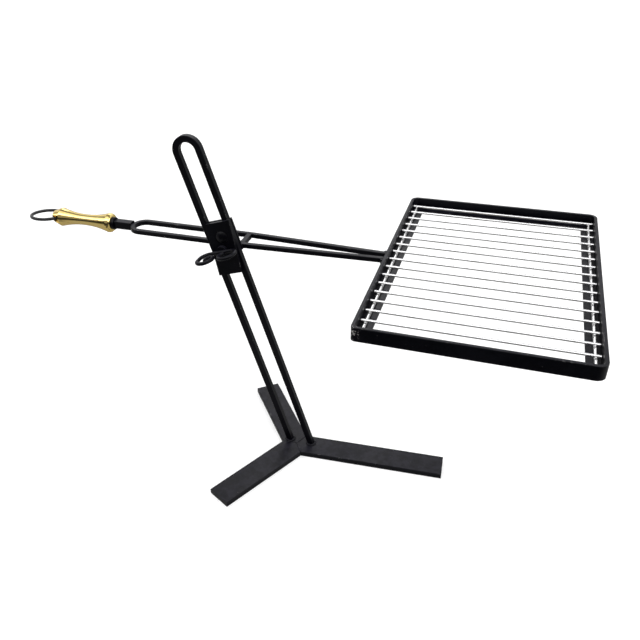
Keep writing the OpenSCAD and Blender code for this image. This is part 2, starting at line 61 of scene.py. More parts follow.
# Mitres of the foot: where they meet, their directions in degrees, and from where to where the
# weld runs along each. The shares are of the ripple's radius.
HUB = Vector((-0.0038, -0.0056, 0.0))
MITRE_TURNS = (66.0, 185.0, 303.0)
MITRE_START = 0.0004
MITRE_END = 0.0182
HUB_SINK_SHARE = 0.10
HUB_RADIUS_SHARE = 0.7
HUB_FLATNESS = 0.42

# Welds round the feet of the post. The shares are of the ripple's radius, or of its spacing.
LEG_POINTS = 32
LEG_INSET_SHARE = 0.8
LEG_RISE_SHARE = 0.2
LEG_RADIUS_SHARE = 0.8
LEG_SPACING_SHARE = 1.4
LEG_FLATNESS = 0.75

# Uneven size of the ripples and rod welds, as shares of their radius.
LUMP_LEAST = 0.82
LUMP_MOST = 1.12

# Worn corner of the grill frame, in X and Y from the low corner of its box and in Z from the
# box's middle, and how far the flecks reach from it.
WORN_INSET = (0.002, 0.001, 0.003)
WORN_REACH = 0.017

# Scratches on the ring, and what multiplies the colours where wire and brass are paler.
SCRATCH_COLOUR = (0.20, 0.197, 0.195)
PALER_WIRE = 1.5
PALER_BRASS = (1.05, 1.08, 1.4)

# Floor, in metres: half its width, and how far it lies below the foot.
FLOOR_HALF = 12.0
FLOOR_DROP = 0.0002
# Its colour to the camera and to other rays, and its glow to the camera.
FLOOR_SEEN = (0.62, 0.62, 0.62)
FLOOR_UNSEEN = (0.06, 0.059, 0.057)
FLOOR_GLOW = 0.46
# The pale part of it, which only reflections see: behind CARD_NEAR in Y or left of CARD_LEFT in
# X, and behind CARD_FAR in Y. Each pair goes from the dark side to the pale side. Last, the
# strength that it adds, and that of the rest.
CARD_NEAR = (-0.45, -0.30)
CARD_LEFT = (-0.42, -0.52)
CARD_FAR = (-1.15, -0.75)
CARD_GLOW = 0.35
CARD_REST = 0.02

# Surroundings. A direction's place is the cotangent of its elevation towards the camera's side:
# 1 is 45 degrees up in front, 0 is straight up, and negative places are behind.
PLACE_LEAST_HEIGHT = 0.02
# Behind, by the sine of the elevation: the rise and its two strengths.
BEHIND_RISE = (0.0, 0.15)
BEHIND_LEVELS = (0.45, 0.95)
# Bands overhead: from which place to which a band fades in, and its strength.
SKY_BANDS = ((-0.70, -0.64, 0.28), (-0.12, -0.07, 1.4), (0.40, 0.45, 3.2))
# In front: the places between which it begins, then as behind.
FRONT_PLACES = (0.90, 1.0)
FRONT_RISE = (0.16, 0.30)
FRONT_LEVELS = (0.02, 0.32)

# Lamps: name, place, the point each faces, width and height in metres, power in watts.
LAMPS = (
    ("back_light", (-0.5, 1.5, 1.5), (0.05, 0.03, 0.2), (1.2, 0.8), 5.0),
    ("right_light", (1.7, 0.2, 0.9), (0.0, 0.0, 0.25), (0.8, 0.8), 8.0),
)

# Camera: place, turns in radians (pitch is down), lens and sensor in millimetres.
CAMERA_PLACE = (0.24374, -0.69273, 0.68907)
CAMERA_YAW = -0.34423
CAMERA_PITCH = 0.57173
CAMERA_ROLL = 0.03414
LENS_LENGTH = 38.104
SENSOR_WIDTH = 36.0
LENS_SHIFT = 0.0411
CLIP_START = 0.01


def box_middle(node):
    """Middle of a node's box."""
    low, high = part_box(node)
    return (low + high) / 2


class GrateSizes(PropertyGroup):
    """Sizes of the pieces that are added to the frame."""

    nugget: FloatProperty(
        name="Rod weld", description="Radius of the weld where a rod crosses a cross rod",
        default=0.0016, min=0.0005, max=0.004, subtype="DISTANCE", unit="LENGTH")
    nugget_flat: FloatProperty(
        name="Rod weld height", description="Height of a rod weld as a share of its width",
        default=0.55, min=0.2, max=1.0)
    bead: FloatProperty(
        name="Weld ripple", description="Radius of one ripple of a weld bead",
        default=0.0024, min=0.001, max=0.005, subtype="DISTANCE", unit="LENGTH")
    ripple: FloatProperty(
        name="Ripple spacing", description="Distance from one ripple of a weld bead to the next",
        default=0.0011, min=0.0005, max=0.004, subtype="DISTANCE", unit="LENGTH")
    seed: IntProperty(
        name="Seed", description="Seed of the uneven weld ripples", default=7, min=0, max=999)


class GrateLooks(PropertyGroup):
    """Colours and gloss of the finishes."""

    paint: FloatVectorProperty(
        name="Stove paint", description="Colour of the satin black paint",
        default=(0.0006, 0.0006, 0.0020), size=3, subtype="COLOR", min=0.0, max=1.0)
    paint_worn: FloatVectorProperty(
        name="Rubbed paint", description="Colour of the paint where it is rubbed thin",
        default=(0.0022, 0.0022, 0.0046), size=3, subtype="COLOR", min=0.0, max=1.0)
    steel: FloatVectorProperty(
        name="Bare steel", description="Colour of the steel where the paint is gone",
        default=(0.60, 0.59, 0.58), size=3, subtype="COLOR", min=0.0, max=1.0)
    # Lightens the tops: dust, and a painted sheen for the light the tops reflect.
    dust_and_sheen: FloatVectorProperty(
        name="Dust and sheen", description="Colour of the fine dust on the tops",
        default=(0.050, 0.048, 0.066), size=3, subtype="COLOR", min=0.0, max=1.0)
    brass: FloatVectorProperty(
        name="Brass", description="Colour of the polished brass",
        default=(0.87, 0.66, 0.21), size=3, subtype="COLOR", min=0.0, max=1.0)
    tarnish: FloatVectorProperty(
        name="Tarnish", description="Colour of the brown tarnish on the brass",
        default=(0.42, 0.25, 0.07), size=3, subtype="COLOR", min=0.0, max=1.0)
    chrome: FloatVectorProperty(
        name="Plated wire", description="Colour of the plated rods",
        default=(0.93, 0.93, 0.94), size=3, subtype="COLOR", min=0.0, max=1.0)
    # Darkens the rods' lower sides: heat browning, and a painted shade under each rod.
    soot_and_shade: FloatVectorProperty(
        name="Browned and shaded wire", description="Colour of the rods where heat has browned_and_shaded them",
        default=(0.27, 0.255, 0.21), size=3, subtype="COLOR", min=0.0, max=1.0)
    wire: FloatVectorProperty(
        name="Ring wire", description="Colour of the dark wire ring",
        default=(0.014, 0.014, 0.016), size=3, subtype="COLOR", min=0.0, max=1.0)


def new_group(name, inputs, outputs):
    """A shader node group with named sockets, its input node and its output node."""
    group = bpy.data.node_groups.new(name, "ShaderNodeTree")
    for label, kind, value in inputs:
        socket = group.interface.new_socket(name=label, in_out="INPUT", socket_type=kind)
        if value is not None:
            socket.default_value = value
    for label, kind in outputs:
        group.interface.new_socket(name=label, in_out="OUTPUT", socket_type=kind)
    return group, group.nodes.new("NodeGroupInput"), group.nodes.new("NodeGroupOutput")


def add_math(tree, operation, first, second=None, clamp=False):
    """A Math node fed by sockets or numbers. Returns its output."""
    node = tree.nodes.new("ShaderNodeMath")
    node.operation = operation
    node.use_clamp = clamp
    for socket, value in zip(node.inputs, (first, second)):
        if value is None:
            continue
        if isinstance(value, (int, float)):
            socket.default_value = value
        else:
            tree.links.new(value, socket)
    return node.outputs[0]


def share_of(tree, value, share):
    """A value times a number. Returns the output."""
    return add_math(tree, "MULTIPLY", value, share)


def add_range(tree, value, low, high, to_low=0.0, to_high=1.0):
    """A smooth Map Range node, its ends fed by sockets or numbers. Returns its output."""
    node = tree.nodes.new("ShaderNodeMapRange")
    node.interpolation_type = "SMOOTHSTEP"
    tree.links.new(value, node.inputs["Value"])
    ends = {"From Min": low, "From Max": high, "To Min": to_low, "To Max": to_high}
    for label, number in ends.items():
        if isinstance(number, (int, float)):
            node.inputs[label].default_value = number
        else:
            tree.links.new(number, node.inputs[label])
    return node.outputs["Result"]


def add_noise(tree, vector, scale, detail, roughness=0.5):
    """A Noise Texture on a vector. Returns its Fac output."""
    node = tree.nodes.new("ShaderNodeTexNoise")
    node.inputs["Detail"].default_value = detail
    node.inputs["Roughness"].default_value = roughness
    if isinstance(scale, (int, float)):
        node.inputs["Scale"].default_value = scale
    else:
        tree.links.new(scale, node.inputs["Scale"])
    tree.links.new(vector, node.inputs["Vector"])
    return node.outputs["Fac"]


def add_mapping(tree, vector, scale):
    """A Mapping node that scales a vector by axis. Returns its output."""
    node = tree.nodes.new("ShaderNodeMapping")
    node.inputs["Scale"].default_value = scale
    tree.links.new(vector, node.inputs["Vector"])
    return node.outputs["Vector"]


def add_mix(tree, factor, first, second):
    """A colour Mix node. Returns its output."""
    node = tree.nodes.new("ShaderNodeMix")
    node.data_type = "RGBA"
    sockets = [s for s in node.inputs if s.type == "RGBA"]
    if isinstance(factor, (int, float)):
        node.inputs["Factor"].default_value = factor
    else:
        tree.links.new(factor, node.inputs["Factor"])
    for socket, value in zip(sockets, (first, second)):
        if isinstance(value, bpy.types.NodeSocket):
            tree.links.new(value, socket)
        else:
            socket.default_value = (*value, 1.0)
    return next(s for s in node.outputs if s.type == "RGBA")


def mottle_group():
    """Cloudy unevenness at a large and a small scale."""
    group, start, end = new_group(
        "Mottle",
        [("Large scale", "NodeSocketFloat", 18.0), ("Small scale", "NodeSocketFloat", 160.0),
         ("Low", "NodeSocketFloat", 0.0), ("High", "NodeSocketFloat", 1.0)],
        [("Value", "NodeSocketFloat")])
    place = group.nodes.new("ShaderNodeTexCoord").outputs["Object"]
    large = add_noise(group, place, start.outputs["Large scale"], detail=3.0)
    small = add_noise(group, place, start.outputs["Small scale"], detail=4.0, roughness=0.6)
    blend = add_math(group, "ADD", share_of(group, large, share=0.6),
                     share_of(group, small, share=0.4))
    value = add_range(group, blend, low=0.36, high=0.64,
                      to_low=start.outputs["Low"], to_high=start.outputs["High"])
    group.links.new(value, end.inputs["Value"])
    return group


def edge_group():
    """Eased edges for the light, and a mask of the edges where the paint is rubbed."""
    group, start, end = new_group(
        "Eased edges",
        [("Radius", "NodeSocketFloat", 0.0006), ("Patch scale", "NodeSocketFloat", 60.0),
         ("Amount", "NodeSocketFloat", 0.5)],
        [("Normal", "NodeSocketVector"), ("Mask", "NodeSocketFloat")])
    bevel = group.nodes.new("ShaderNodeBevel")
    bevel.samples = 6
    group.links.new(start.outputs["Radius"], bevel.inputs["Radius"])
    flat = group.nodes.new("ShaderNodeNewGeometry").outputs["Normal"]
    dot = group.nodes.new("ShaderNodeVectorMath")
    dot.operation = "DOT_PRODUCT"
    group.links.new(bevel.outputs["Normal"], dot.inputs[0])
    group.links.new(flat, dot.inputs[1])
    turned = add_math(group, "SUBTRACT", 1.0, dot.outputs["Value"])
    edge = add_range(group, turned, low=0.01, high=0.09)
    place = group.nodes.new("ShaderNodeTexCoord").outputs["Object"]
    patch = add_noise(group, place, start.outputs["Patch scale"], detail=5.0, roughness=0.65)
    rubbed = add_range(group, patch, low=0.60, high=0.68, to_high=start.outputs["Amount"])
    group.links.new(bevel.outputs["Normal"], end.inputs["Normal"])
    group.links.new(add_math(group, "MULTIPLY", edge, rubbed), end.inputs["Mask"])
    return group


def facing_group():
    """Masks of what faces up and what faces down, broken up by noise."""
    group, start, end = new_group(
        "Up and down",
        [("Patch scale", "NodeSocketFloat", 70.0), ("Down from", "NodeSocketFloat", 0.15),
         ("Down to", "NodeSocketFloat", -0.75)],
        [("Up", "NodeSocketFloat"), ("Down", "NodeSocketFloat")])
    coords = group.nodes.new("ShaderNodeTexCoord")
    split = group.nodes.new("ShaderNodeSeparateXYZ")
    group.links.new(coords.outputs["Normal"], split.inputs["Vector"])
    patch = add_noise(group, coords.outputs["Object"], start.outputs["Patch scale"],
                      detail=5.0, roughness=0.6)
    broken = add_range(group, patch, low=0.35, high=0.65, to_low=0.25)
    up = add_range(group, split.outputs["Z"], low=0.55, high=0.95)
    down = add_range(group, split.outputs["Z"],
                     low=start.outputs["Down from"], high=start.outputs["Down to"])
    group.links.new(add_math(group, "MULTIPLY", up, broken), end.inputs["Up"])
    group.links.new(add_math(group, "MULTIPLY", down, broken), end.inputs["Down"])
    return group


def spot_group():
    """A worn spot: flecks that thin out away from its centre."""
    group, start, end = new_group(
        "Worn spot",
        [("Centre", "NodeSocketVector", None), ("Reach", "NodeSocketFloat", 0.01),
         ("Patch scale", "NodeSocketFloat", 300.0)],
        [("Mask", "NodeSocketFloat")])
    place = group.nodes.new("ShaderNodeTexCoord").outputs["Object"]
    away = group.nodes.new("ShaderNodeVectorMath")
    away.operation = "DISTANCE"
    group.links.new(place, away.inputs[0])
    group.links.new(start.outputs["Centre"], away.inputs[1])
    outward = add_math(group, "DIVIDE", away.outputs["Value"], start.outputs["Reach"])
    near = add_math(group, "SUBTRACT", 1.0, outward)
    patch = add_noise(group, place, start.outputs["Patch scale"], detail=5.0, roughness=0.7)
    fleck = add_math(group, "ADD", patch, add_math(group, "MULTIPLY", near, 0.22, clamp=True))
    group.links.new(add_range(group, fleck, low=0.70, high=0.76), end.inputs["Mask"])
    return group


def shared_group(name, build):
    """A shader group, built the first time it is asked for."""
    return bpy.data.node_groups.get(name) or build()


def place_group(tree, name, build, **values):
    """Puts a shared group in a material and sets its inputs."""
    node = tree.nodes.new("ShaderNodeGroup")
    node.node_tree = shared_group(name, build)
    for label, value in values.items():
        node.inputs[label.replace("_", " ").capitalize()].default_value = value
    return node.outputs


def new_material(name):
    """An empty material with a Principled shader and its output."""
    material = bpy.data.materials.new(name)
    material.use_nodes = True
    tree = material.node_tree
    tree.nodes.clear()
    shader = tree.nodes.new("ShaderNodeBsdfPrincipled")
    end = tree.nodes.new("ShaderNodeOutputMaterial")
    tree.links.new(shader.outputs["BSDF"], end.inputs["Surface"])
    return material, tree, shader


def add_bump(tree, height, distance, strength, normal=None):
    """A Bump node. Returns its normal."""
    node = tree.nodes.new("ShaderNodeBump")
    node.inputs["Distance"].default_value = distance
    node.inputs["Strength"].default_value = strength
    tree.links.new(height, node.inputs["Height"])
    if normal is not None:
        tree.links.new(normal, node.inputs["Normal"])
    return node.outputs["Normal"]


def stove_paint(looks):
    """Satin black paint with orange peel, rubbed edges, and tops lightened by a little dust and a
    painted sheen.
    """
    material, tree, shader = new_material("stove_paint")
    place = tree.nodes.new("ShaderNodeTexCoord").outputs["Object"]
    mottle = place_group(tree, "Mottle", mottle_group,
                         large_scale=22.0, small_scale=260.0)["Value"]
    edges = place_group(tree, "Eased edges", edge_group,
                        radius=0.0005, patch_scale=42.0, amount=0.85)
    faces = place_group(tree, "Up and down", facing_group, patch_scale=85.0)
    colour = add_mix(tree, mottle, looks.paint, looks.paint_worn)
    # Tops lightened: partly dust, partly a painted sheen for the light they reflect.
    colour = add_mix(tree, share_of(tree, faces["Up"], share=0.22), colour, looks.dust_and_sheen)
    specks = add_noise(tree, place, scale=95.0, detail=6.0, roughness=0.7)
    chips = add_range(tree, specks, low=0.735, high=0.75, to_high=0.8)
    low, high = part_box("frame_band")
    corner = (low.x + WORN_INSET[0], low.y + WORN_INSET[1], (low.z + high.z) / 2 + WORN_INSET[2])
    spot = place_group(tree, "Worn spot", spot_group,
                       centre=corner, reach=WORN_REACH, patch_scale=380.0)["Mask"]
    bare = add_math(tree, "MAXIMUM", add_math(tree, "MAXIMUM", edges["Mask"], chips), spot)
    colour = add_mix(tree, bare, colour, looks.steel)
    peel = add_noise(tree, place, scale=900.0, detail=2.0)
    wave = add_noise(tree, place, scale=120.0, detail=2.0)
    height = add_math(tree, "ADD", share_of(tree, peel, share=0.35), wave)
    height = add_math(tree, "SUBTRACT", height, share_of(tree, bare, share=0.3))
    rough = add_math(tree, "ADD", share_of(tree, mottle, share=0.12), 0.30)
    tree.links.new(colour, shader.inputs["Base Color"])
    tree.links.new(share_of(tree, bare, share=0.5), shader.inputs["Metallic"])
    tree.links.new(rough, shader.inputs["Roughness"])
    normal = add_bump(tree, height, distance=0.00025, strength=0.35, normal=edges["Normal"])
    tree.links.new(normal, shader.inputs["Normal"])
    shader.inputs["Specular IOR Level"].default_value = 0.15
    return material


def ring_wire(looks):
    """Dark drawn wire, lightly scratched."""
    material, tree, shader = new_material("ring_wire")
    place = tree.nodes.new("ShaderNodeTexCoord").outputs["Object"]
    mottle = place_group(tree, "Mottle", mottle_group,
                         large_scale=120.0, small_scale=700.0)["Value"]
    stretched = add_mapping(tree, place, scale=(1, 1, 4))
    scratch = add_noise(tree, stretched, scale=420.0, detail=5.0, roughness=0.7)
    scratch = add_range(tree, scratch, low=0.52, high=0.74)
    colour = add_mix(tree, mottle, looks.wire, [c * PALER_WIRE for c in looks.wire])
    colour = add_mix(tree, share_of(tree, scratch, share=0.2), colour, SCRATCH_COLOUR)
    rough = add_math(tree, "ADD", share_of(tree, mottle, share=0.15), 0.30)
    tree.links.new(colour, shader.inputs["Base Color"])
    tree.links.new(rough, shader.inputs["Roughness"])
    normal = add_bump(tree, scratch, distance=0.00005, strength=0.2)
    tree.links.new(normal, shader.inputs["Normal"])
    shader.inputs["Metallic"].default_value = 0.35
    return material


def turned_brass(looks):
    """Polished brass with soft dents, faint turning marks and brown tarnish in streaks."""
    material, tree, shader = new_material("turned_brass")
    place = tree.nodes.new("ShaderNodeTexCoord").outputs["Object"]
    mottle = place_group(tree, "Mottle", mottle_group,
                         large_scale=55.0, small_scale=420.0)["Value"]
    faces = place_group(tree, "Up and down", facing_group, patch_scale=60.0)
    along = add_mapping(tree, place, scale=(9, 90, 90))
    streak = add_noise(tree, along, scale=2.2, detail=5.0, roughness=0.6)
    streak = add_range(tree, streak, low=0.50, high=0.66)
    across = add_mapping(tree, place, scale=(1900, 25, 25))
    turned = add_noise(tree, across, scale=1.0, detail=2.0)
    spots = add_noise(tree, place, scale=330.0, detail=4.0, roughness=0.6)
    spots = add_range(tree, spots, low=0.66, high=0.72, to_high=0.7)
    tarnish = share_of(tree, streak, share=0.35)
    tarnish = add_math(tree, "MAXIMUM", tarnish, share_of(tree, faces["Down"], share=0.30))
    tarnish = add_math(tree, "MAXIMUM", tarnish, share_of(tree, spots, share=0.55))
    paler = [min(1.0, c * factor) for c, factor in zip(looks.brass, PALER_BRASS)]
    colour = add_mix(tree, mottle, looks.brass, paler)
    colour = add_mix(tree, tarnish, colour, looks.tarnish)
    rough = add_math(tree, "ADD", share_of(tree, mottle, share=0.06), 0.08)
    rough = add_math(tree, "ADD", rough, share_of(tree, tarnish, share=0.20))
    dents = add_noise(tree, place, scale=150.0, detail=1.0)
    height = add_math(tree, "ADD", share_of(tree, turned, share=0.01),
                      share_of(tree, mottle, share=0.08))
    height = add_math(tree, "ADD", height, dents)
    tree.links.new(colour, shader.inputs["Base Color"])
    tree.links.new(rough, shader.inputs["Roughness"])
    normal = add_bump(tree, height, distance=0.00009, strength=0.8)
    tree.links.new(normal, shader.inputs["Normal"])
    shader.inputs["Metallic"].default_value = 1.0
    return material


def plated_wire(looks):
    """Bright plated wire, drawn along X, darker below: heat browning and a painted shade under
    each rod.
    """
    material, tree, shader = new_material("plated_wire")
    place = tree.nodes.new("ShaderNodeTexCoord").outputs["Object"]
    mottle = place_group(tree, "Mottle", mottle_group,
                         large_scale=35.0, small_scale=420.0)["Value"]
    faces = place_group(tree, "Up and down", facing_group,
                        patch_scale=45.0, down_from=0.62, down_to=-0.1)
    along = add_mapping(tree, place, scale=(14, 900, 900))
    drawn = add_noise(tree, along, scale=1.0, detail=3.0)
    specks = add_noise(tree, place, scale=260.0, detail=5.0, roughness=0.7)
    specks = add_range(tree, specks, low=0.64, high=0.70, to_high=0.8)
    # Lower sides darkened: partly heat browning, partly a painted shade under each rod.
    uneven = add_math(tree, "ADD", share_of(tree, mottle, share=0.5), 0.4)
    brown = add_math(tree, "MULTIPLY", faces["Down"], uneven)
    brown = add_math(tree, "MAXIMUM", brown, share_of(tree, specks, share=0.5))
    colour = add_mix(tree, brown, looks.chrome, looks.soot_and_shade)
    rough = add_math(tree, "ADD", share_of(tree, drawn, share=0.12), 0.20)
    rough = add_math(tree, "ADD", rough, share_of(tree, brown, share=0.25))
    tree.links.new(colour, shader.inputs["Base Color"])
    tree.links.new(rough, shader.inputs["Roughness"])
    normal = add_bump(tree, drawn, distance=0.00003, strength=0.25)
    tree.links.new(normal, shader.inputs["Normal"])
    shader.inputs["Metallic"].default_value = 1.0
    return material


def material_of(name, build):
    """A finish, made the first time it is asked for."""
    return bpy.data.materials.get(name) or build(bpy.context.scene.grate_looks)


def finish_nodes(names, material):
    """Gives CAD nodes a finish."""
    for name in names:
        slots = nodes[name].data.materials
        slots.clear()
        slots.append(material)


def geometry_tree(name, inputs):
    """A Geometry Nodes tree with named inputs."""
    tree = bpy.data.node_groups.new(name, "GeometryNodeTree")
    tree.is_modifier = True
    for label, kind, value in inputs:
        socket = tree.interface.new_socket(name=label, in_out="INPUT", socket_type=kind)
        if value is not None:
            socket.default_value = value
    tree.interface.new_socket(name="Geometry", in_out="OUTPUT", socket_type="NodeSocketGeometry")
    return tree, tree.nodes.new("NodeGroupInput").outputs, tree.nodes.new("NodeGroupOutput").inputs


def link_or_set(tree, socket, value):
    """Feeds a socket from another socket, or sets it."""
    if isinstance(value, bpy.types.NodeSocket):
        tree.links.new(value, socket)
    else:
        socket.default_value = value


def add_node(tree, kind, **values):
    """A geometry node with its inputs fed or set by name."""
    node = tree.nodes.new(kind)
    for label, value in values.items():
        link_or_set(tree, node.inputs[label.replace("_", " ")], value)
    return node


def close_tree(tree, geometry, material, end):
    """Ends a tree in Realize Instances, smooth shading and Set Material."""
    real = add_node(tree, "GeometryNodeRealizeInstances", Geometry=geometry)
    smooth = add_node(tree, "GeometryNodeSetShadeSmooth", Geometry=real.outputs[0])
    painted = add_node(tree, "GeometryNodeSetMaterial",
                       Geometry=smooth.outputs[0], Material=material)
    tree.links.new(painted.outputs[0], end["Geometry"])


def lumps(tree, points, radius, flat, seed):
    """Small uneven round lumps on points."""
    ball = add_node(tree, "GeometryNodeMeshIcoSphere", Radius=1.0, Subdivisions=3)
    size = tree.nodes.new("FunctionNodeRandomValue")
    size.data_type = "FLOAT"
    floats = [s for s in size.inputs if s.type == "VALUE"]
    floats[0].default_value = LUMP_LEAST
    floats[1].default_value = LUMP_MOST
    tree.links.new(seed, next(s for s in size.inputs if s.name == "Seed"))
    value = next(s for s in size.outputs if s.type == "VALUE")
    across = add_math(tree, "MULTIPLY", value, radius)
    up = add_math(tree, "MULTIPLY", across, flat)
    scale = add_node(tree, "ShaderNodeCombineXYZ", X=across, Y=across, Z=up)
    placed = add_node(tree, "GeometryNodeInstanceOnPoints",
                      Points=points, Instance=ball.outputs["Mesh"], Scale=scale.outputs[0])
    return placed.outputs["Instances"]


def rod_weld_tree():
    """Welds in two rows, one lump wherever a long rod crosses a cross rod."""
    tree, start, end = geometry_tree("Rod welds", [
        ("Rod count", "NodeSocketInt", 17), ("First weld", "NodeSocketVector", None),
        ("Rod step", "NodeSocketVector", None), ("Cross step", "NodeSocketVector", None),
        ("Radius", "NodeSocketFloat", 0.002), ("Flatness", "NodeSocketFloat", 0.5),
        ("Seed", "NodeSocketInt", 1), ("Material", "NodeSocketMaterial", None)])
    row = add_node(tree, "GeometryNodeMeshLine",
                   Count=start["Rod count"], Offset=start["Rod step"])
    ends = add_node(tree, "GeometryNodeMeshLine",
                    Count=2, Start_Location=start["First weld"], Offset=start["Cross step"])
    rows = add_node(tree, "GeometryNodeInstanceOnPoints",
                    Points=ends.outputs["Mesh"], Instance=row.outputs["Mesh"])
    points = add_node(tree, "GeometryNodeRealizeInstances", Geometry=rows.outputs["Instances"])
    welds = lumps(tree, points.outputs[0], start["Radius"], start["Flatness"], start["Seed"])
    close_tree(tree, welds, start["Material"], end)
    return tree


def bead_tree():
    """Weld bead: overlapping ripples along the edges of the object's own mesh."""
    tree, start, end = geometry_tree("Weld bead", [
        ("Path", "NodeSocketGeometry", None), ("Spacing", "NodeSocketFloat", 0.001),
        ("Radius", "NodeSocketFloat", 0.002), ("Flatness", "NodeSocketFloat", 0.5),
        ("Seed", "NodeSocketInt", 1), ("Material", "NodeSocketMaterial", None)])
    curve = add_node(tree, "GeometryNodeMeshToCurve", Mesh=start["Path"])
    steps = tree.nodes.new("GeometryNodeResampleCurve")
    steps.mode = "LENGTH"
    tree.links.new(curve.outputs[0], steps.inputs["Curve"])
    tree.links.new(start["Spacing"], steps.inputs["Length"])
    ripples = lumps(tree, steps.outputs[0], start["Radius"], start["Flatness"], start["Seed"])
    close_tree(tree, ripples, start["Material"], end)
    return tree


def run_tree(name, tree, mesh, values):
    """Runs a tree on a mesh and keeps the result as a plain mesh object."""
    holder = bpy.data.objects.new(name + "_path", mesh)
    bpy.context.scene.collection.objects.link(holder)
    modifier = holder.modifiers.new("nodes", "NODES")
    modifier.node_group = tree
    for item in tree.interface.items_tree:
        if item.item_type == "SOCKET" and item.in_out == "INPUT" and item.name in values:
            modifier[item.identifier] = values[item.name]
    bpy.context.view_layer.update()
    evaluated = holder.evaluated_get(bpy.context.evaluated_depsgraph_get())
    solid = bpy.data.meshes.new_from_object(evaluated)
    solid.name = name
    piece = bpy.data.objects.new(name, solid)
    bpy.context.scene.collection.objects.link(piece)
    holder.modifiers.remove(modifier)
    bpy.data.objects.remove(holder)
    if not piece.data.polygons:
        raise RuntimeError(f"{name} came out empty")
    return piece


def path_mesh(name, paths):
    """Edges along each list of points, closed where a path says so."""
    points = []
    edges = []
    for path, closed in paths:
        first = len(points)
        points += [tuple(p) for p in path]
        edges += [(first + i, first + i + 1) for i in range(len(path) - 1)]
        if closed:
            edges.append((first + len(path) - 1, first))
    mesh = bpy.data.meshes.new(name)
    mesh.from_pydata(points, edges, [])
    return mesh


class GRATE_OT_black_iron(Operator):
    """Paints the foot, post, carriage, arm and grill frame satin black"""

    bl_idname = "grate.black_iron"
    bl_label = "Black iron"

    def execute(self, context):
        finish_nodes(IRON_NODES, material_of("stove_paint", stove_paint))
        return {"FINISHED"}


class GRATE_OT_hub_weld(Operator):
    """Lays rippled weld beads on the mitres of the foot"""

    bl_idname = "grate.hub_weld"
    bl_label = "Foot weld"

    def execute(self, context):
        sizes = context.scene.grate_sizes
        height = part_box("foot_right")[1].z - sizes.bead * HUB_SINK_SHARE
        paths = []
        for turn in map(math.radians, MITRE_TURNS):
            way = Vector((math.cos(turn), math.sin(turn), 0.0))
            near = HUB + way * MITRE_START
            far = HUB + way * MITRE_END
            paths.append(([(near.x, near.y, height), (far.x, far.y, height)], False))
        piece = run_tree("hub_bead", bead_tree(), path_mesh("hub_bead_path", paths), {
            "Spacing": sizes.ripple, "Radius": sizes.bead * HUB_RADIUS_SHARE,
            "Flatness": HUB_FLATNESS, "Seed": sizes.seed,
            "Material": material_of("stove_paint", stove_paint)})
        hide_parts("hub_weld")
        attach(piece, "stand")
        return {"FINISHED"}


class GRATE_OT_leg_welds(Operator):
    """Lays a rippled weld bead round each foot of the post"""

    bl_idname = "grate.leg_welds"
    bl_label = "Leg welds"

    def execute(self, context):
        sizes = context.scene.grate_sizes
        for index, side in enumerate(("right", "left")):
            low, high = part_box("leg_weld_" + side)
            middle = (low + high) / 2
            reach = (high.x - low.x) / 2 - sizes.bead * LEG_INSET_SHARE
            height = low.z + sizes.bead * LEG_RISE_SHARE
            turns = [math.tau * step / LEG_POINTS for step in range(LEG_POINTS)]
            loop = [(middle.x + reach * math.cos(turn), middle.y + reach * math.sin(turn), height)
                    for turn in turns]
            name = "leg_bead_" + side
            piece = run_tree(name, bead_tree(), path_mesh(name + "_path", [(loop, True)]), {
                "Spacing": sizes.ripple * LEG_SPACING_SHARE,
                "Radius": sizes.bead * LEG_RADIUS_SHARE, "Flatness": LEG_FLATNESS,
                "Seed": sizes.seed + 1 + index,
                "Material": material_of("stove_paint", stove_paint)})
            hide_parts("leg_weld_" + side)
            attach(piece, "stand")
        return {"FINISHED"}


class GRATE_OT_brass_handle(Operator):
    """Finishes the turned brass handle"""

    bl_idname = "grate.brass_handle"
    bl_label = "Brass handle"

    def execute(self, context):
        finish_nodes(["brass_handle"], material_of("turned_brass", turned_brass))
        return {"FINISHED"}


class GRATE_OT_hanging_ring(Operator):
    """Finishes the dark wire ring in the handle's end"""

    bl_idname = "grate.hanging_ring"
    bl_label = "Hanging ring"

    def execute(self, context):
        finish_nodes(["hanging_ring"], material_of("ring_wire", ring_wire))
        return {"FINISHED"}


class GRATE_OT_wire_grid(Operator):
    """Plates the loose grid's rods and welds them where they cross"""

    bl_idname = "grate.wire_grid"
    bl_label = "Wire grid"

    def execute(self, context):
        sizes = context.scene.grate_sizes
        plated = material_of("plated_wire", plated_wire)
        finish_nodes(GRID_NODES, plated)
        first = box_middle(LONG_RODS[0])
        second = box_middle(LONG_RODS[1])
        left = box_middle("cross_rod_left")
        right = box_middle("cross_rod_right")
        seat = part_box("cross_rod_left")[1].z
        piece = run_tree("rod_welds", rod_weld_tree(), path_mesh("rod_weld_path", []), {
            "Rod count": len(LONG_RODS), "First weld": (left.x, first.y, seat),
            "Rod step": (0.0, second.y - first.y, 0.0),
            "Cross step": (right.x - left.x, 0.0, 0.0),
            "Radius": sizes.nugget, "Flatness": sizes.nugget_flat,
            "Seed": sizes.seed, "Material": plated})
        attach(piece, "grid")
        return {"FINISHED"}


